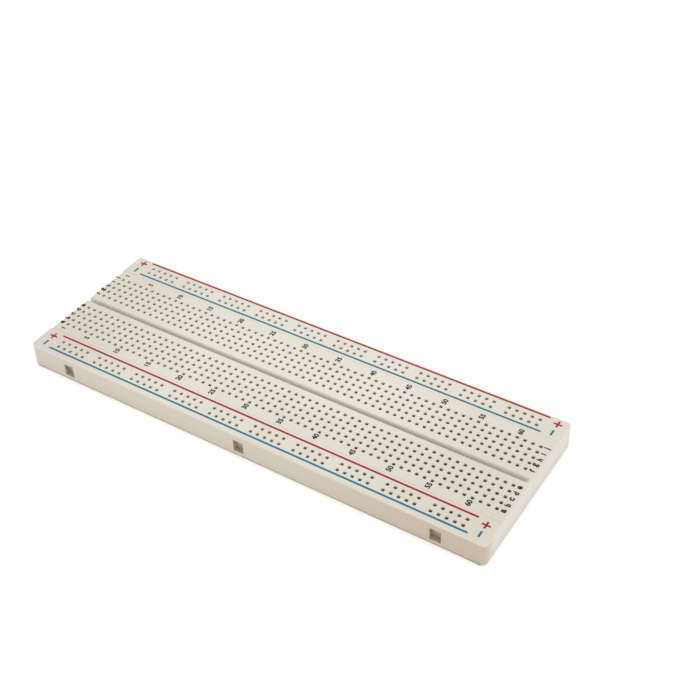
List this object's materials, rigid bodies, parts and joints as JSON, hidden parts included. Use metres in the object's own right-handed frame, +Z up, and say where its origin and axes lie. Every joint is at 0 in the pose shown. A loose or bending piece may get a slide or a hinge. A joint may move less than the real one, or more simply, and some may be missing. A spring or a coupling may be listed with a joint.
{
  "type": "solderless breadboard",
  "caption": "Flat plug-in prototyping board: a gridded terminal strip with a centre channel, two detachable power bus strips, spring contacts inside and an adhesive tape base.",
  "frame": {"origin": "underside of the liner, under the middle of the terminal strip and of the hole grid", "axes": "+X along the numbered columns towards the last column, +Y across the lettered rows from a to j, +Z up out of the holes"},
  "size_m": [0.165, 0.0568, 0.009],
  "materials": {
    "ivory_plastic": "satin moulded plastic, ivory white",
    "contact_metal": "plated spring sheet",
    "tape_foam": "matt closed-cell foam",
    "liner_paper": "waxed release paper",
    "red_ink": "printed line",
    "blue_ink": "printed line",
    "black_ink": "printed letters and numbers"
  },
  "bodies": {
    "terminal": {"terminal_strip": "ivory_plastic", "terminal_strip_foam": "tape_foam", "terminal_strip_liner": "liner_paper", "contacts_ae_01_03": "contact_metal", "contacts_ae_04_06": "contact_metal", "contacts_ae_07_09": "contact_metal", "contacts_ae_10_12": "contact_metal", "contacts_ae_13_15": "contact_metal", "contacts_ae_16_18": "contact_metal", "contacts_ae_19_21": "contact_metal", "contacts_ae_22_24": "contact_metal", "contacts_ae_25_27": "contact_metal", "contacts_ae_28_30": "contact_metal", "contacts_ae_31_33": "contact_metal", "contacts_ae_34_36": "contact_metal", "contacts_ae_37_39": "contact_metal", "contacts_ae_40_42": "contact_metal", "contacts_ae_43_45": "contact_metal", "contacts_ae_46_48": "contact_metal", "contacts_ae_49_51": "contact_metal", "contacts_ae_52_54": "contact_metal", "contacts_ae_55_57": "contact_metal", "contacts_ae_58_60": "contact_metal", "contacts_ae_61_63": "contact_metal", "contacts_fj_01_03": "contact_metal", "contacts_fj_04_06": "contact_metal", "contacts_fj_07_09": "contact_metal", "contacts_fj_10_12": "contact_metal", "contacts_fj_13_15": "contact_metal", "contacts_fj_16_18": "contact_metal", "contacts_fj_19_21": "contact_metal", "contacts_fj_22_24": "contact_metal", "contacts_fj_25_27": "contact_metal", "contacts_fj_28_30": "contact_metal", "contacts_fj_31_33": "contact_metal", "contacts_fj_34_36": "contact_metal", "contacts_fj_37_39": "contact_metal", "contacts_fj_40_42": "contact_metal", "contacts_fj_43_45": "contact_metal", "contacts_fj_46_48": "contact_metal", "contacts_fj_49_51": "contact_metal", "contacts_fj_52_54": "contact_metal", "contacts_fj_55_57": "contact_metal", "contacts_fj_58_60": "contact_metal", "contacts_fj_61_63": "contact_metal"},
    "front_bus": {"front_bus_strip": "ivory_plastic", "front_bus_strip_foam": "tape_foam", "front_bus_strip_liner": "liner_paper", "front_bus_strip_minus_rail": "contact_metal", "front_bus_strip_plus_rail": "contact_metal"},
    "rear_bus": {"rear_bus_strip": "ivory_plastic", "rear_bus_strip_foam": "tape_foam", "rear_bus_strip_liner": "liner_paper", "rear_bus_strip_minus_rail": "contact_metal", "rear_bus_strip_plus_rail": "contact_metal"}
  },
  "joints": [
    {"name": "front_bus_slide", "type": "slide", "parent": "terminal", "child": "front_bus", "axis": [0, -1, 0], "range_m": [0, 0.006]},
    {"name": "rear_bus_slide", "type": "slide", "parent": "terminal", "child": "rear_bus", "axis": [0, 1, 0], "range_m": [0, 0.006]}
  ]
}
